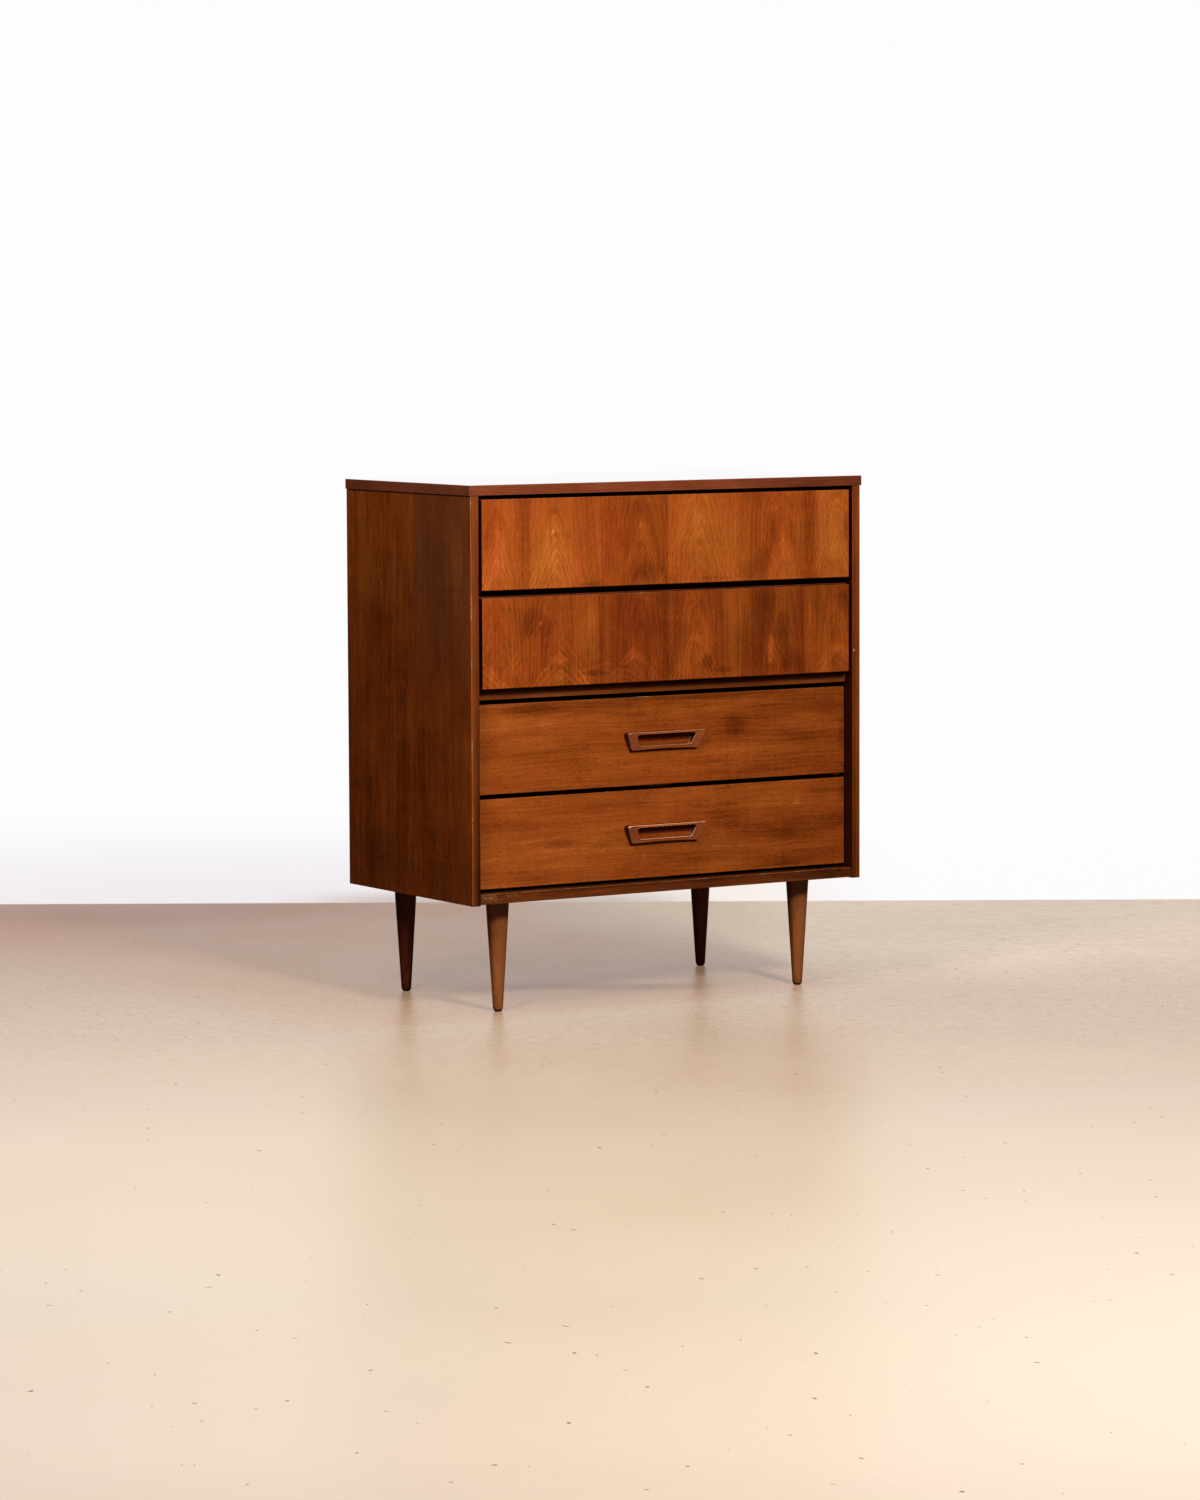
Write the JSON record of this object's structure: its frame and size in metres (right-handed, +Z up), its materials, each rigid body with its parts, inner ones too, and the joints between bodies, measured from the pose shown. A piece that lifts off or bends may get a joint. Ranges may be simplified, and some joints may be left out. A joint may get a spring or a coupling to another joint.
{
  "type": "tallboy",
  "caption": "Walnut tallboy on tapered round legs; upper drawers with overlay panels and finger coves, lower drawers set back with carved wooden pulls.",
  "frame": {"origin": "centre of the part's box, on the floor", "axes": "+Z up, -Y out of the drawer fronts, +X to the viewer's right"},
  "size_m": [0.9452, 0.5046, 1.067],
  "materials": {
    "walnut_veneer": "satin lacquer over walnut veneer, upright grain",
    "walnut_overlay": "satin lacquer over figured walnut veneer, upright grain",
    "walnut_front": "satin lacquer over walnut veneer, level grain",
    "walnut_solid": "satin lacquer on solid wood, worn at the edges",
    "poplar": "sealed, not polished",
    "thin_plywood": "sealed, not polished",
    "hardboard": "plain",
    "zinc_steel": "dull zinc plate",
    "glide_metal": "dark worn steel"
  },
  "bodies": {
    "case": {"top_panel": "walnut_veneer", "left_side_panel": "walnut_veneer", "right_side_panel": "walnut_veneer", "base_panel": "walnut_veneer", "base_front_lip": "walnut_solid", "middle_divider_rail": "walnut_solid", "back_panel": "hardboard", "middle_rear_rail": "poplar", "upper_front_rail": "poplar", "upper_rear_rail": "poplar", "lower_front_rail": "poplar", "lower_rear_rail": "poplar", "top_drawer_runner": "poplar", "second_drawer_runner": "poplar", "third_drawer_runner": "poplar", "bottom_drawer_runner": "poplar", "leg_plate_front_left": "zinc_steel", "leg_front_left": "walnut_solid", "glide_front_left": "glide_metal", "leg_plate_front_right": "zinc_steel", "leg_front_right": "walnut_solid", "glide_front_right": "glide_metal", "leg_plate_rear_left": "zinc_steel", "leg_rear_left": "walnut_solid", "glide_rear_left": "glide_metal", "leg_plate_rear_right": "zinc_steel", "leg_rear_right": "walnut_solid", "glide_rear_right": "glide_metal"},
    "top_drawer": {"top_drawer_front": "walnut_front", "top_drawer_left_side": "poplar", "top_drawer_right_side": "poplar", "top_drawer_back": "poplar", "top_drawer_bottom": "thin_plywood", "top_drawer_channel": "poplar", "top_drawer_overlay_panel": "walnut_overlay"},
    "second_drawer": {"second_drawer_front": "walnut_front", "second_drawer_left_side": "poplar", "second_drawer_right_side": "poplar", "second_drawer_back": "poplar", "second_drawer_bottom": "thin_plywood", "second_drawer_channel": "poplar", "second_drawer_overlay_panel": "walnut_overlay"},
    "third_drawer": {"third_drawer_front": "walnut_front", "third_drawer_left_side": "poplar", "third_drawer_right_side": "poplar", "third_drawer_back": "poplar", "third_drawer_bottom": "thin_plywood", "third_drawer_channel": "poplar", "third_drawer_pull": "walnut_solid", "third_drawer_pull_screw_left": "zinc_steel", "third_drawer_pull_screw_right": "zinc_steel"},
    "bottom_drawer": {"bottom_drawer_front": "walnut_front", "bottom_drawer_left_side": "poplar", "bottom_drawer_right_side": "poplar", "bottom_drawer_back": "poplar", "bottom_drawer_bottom": "thin_plywood", "bottom_drawer_channel": "poplar", "bottom_drawer_pull": "walnut_solid", "bottom_drawer_pull_screw_left": "zinc_steel", "bottom_drawer_pull_screw_right": "zinc_steel"}
  },
  "joints": [
    {"name": "top_drawer_slide", "type": "slide", "parent": "case", "child": "top_drawer", "axis": [0, -1, 0], "range_m": [0, 0.33]},
    {"name": "second_drawer_slide", "type": "slide", "parent": "case", "child": "second_drawer", "axis": [0, -1, 0], "range_m": [0, 0.33]},
    {"name": "third_drawer_slide", "type": "slide", "parent": "case", "child": "third_drawer", "axis": [0, -1, 0], "range_m": [0, 0.33]},
    {"name": "bottom_drawer_slide", "type": "slide", "parent": "case", "child": "bottom_drawer", "axis": [0, -1, 0], "range_m": [0, 0.33]}
  ]
}
